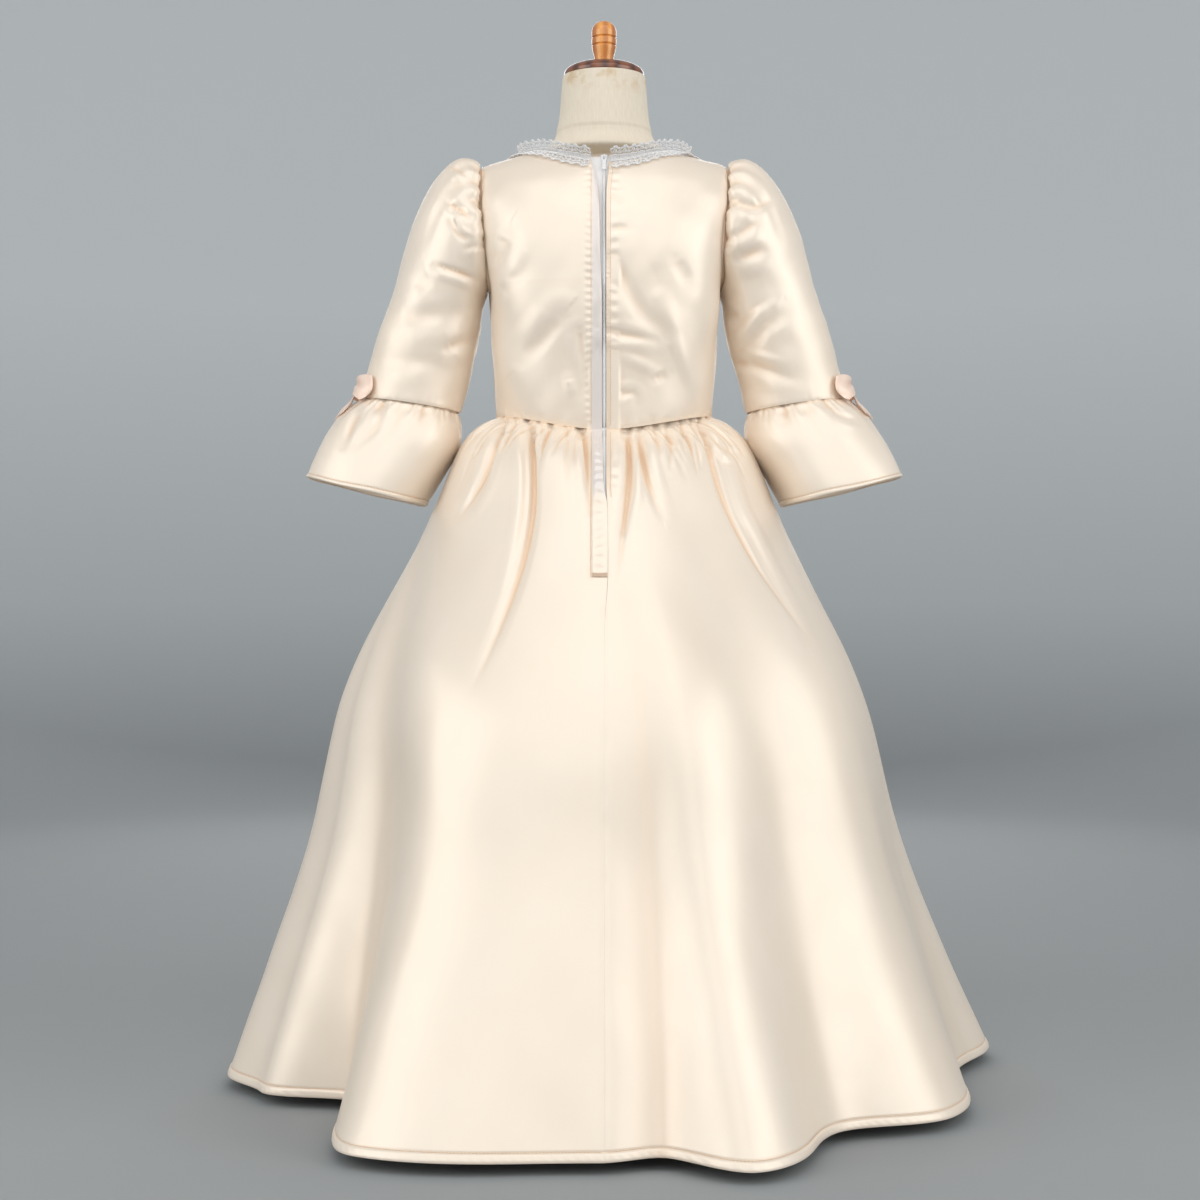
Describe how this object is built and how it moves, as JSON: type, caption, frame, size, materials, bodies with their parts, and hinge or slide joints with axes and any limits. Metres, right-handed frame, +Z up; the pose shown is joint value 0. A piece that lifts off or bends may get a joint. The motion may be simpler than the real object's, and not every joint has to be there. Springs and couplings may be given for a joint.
{
  "type": "child's satin ball gown on a limbless dress form",
  "caption": "Long-sleeved satin ball gown with puffed caps, elbow bows and flounces, lace neck and back zip, on a limbless linen dress form with a wooden cap and a round iron base.",
  "frame": {"origin": "middle of the stand's underside, on the floor", "axes": "+Z up; the gown's zipped back faces +Y and its front -Y, so the wearer's left is +X"},
  "size_m": [0.802, 0.8193, 1.1026],
  "materials": {
    "satin": "glossy duchess satin",
    "ribbon": "satin ribbon",
    "lace": "matt cotton lace",
    "zip_tape": "woven tape",
    "zip_enamel": "white enamel",
    "linen": "plain-woven linen cover",
    "varnished_wood": "glossy varnish",
    "stand_iron": "black paint"
  },
  "bodies": {
    "gown_and_form": {"bodice_front": "satin", "bodice_back_left": "satin", "bodice_back_right": "satin", "skirt_front": "satin", "skirt_back_left": "satin", "skirt_back_right": "satin", "sleeve_left": "satin", "sleeve_right": "satin", "flounce_left": "satin", "flounce_right": "satin", "bow_loop_back_left": "ribbon", "bow_loop_back_right": "ribbon", "bow_loop_front_left": "ribbon", "bow_loop_front_right": "ribbon", "bow_knot_left": "ribbon", "bow_knot_right": "ribbon", "bow_tail_back_left": "ribbon", "bow_tail_back_right": "ribbon", "bow_tail_front_left": "ribbon", "bow_tail_front_right": "ribbon", "neck_lace_standing": "lace", "neck_lace_falling": "lace", "zip_tape_left": "zip_tape", "zip_tape_right": "zip_tape", "zip_slider": "zip_enamel", "form_torso": "linen", "form_cap": "varnished_wood", "form_knob": "varnished_wood", "stand_pole": "stand_iron", "stand_base": "stand_iron"},
    "pull_tab": {"zip_pull": "zip_enamel"}
  },
  "joints": [
    {"name": "pull_hinge", "type": "hinge", "parent": "gown_and_form", "child": "pull_tab", "pos_m": [0, 0.06742, 0.94616], "axis": [1, 0, 0], "range_deg": [0, 150]}
  ]
}
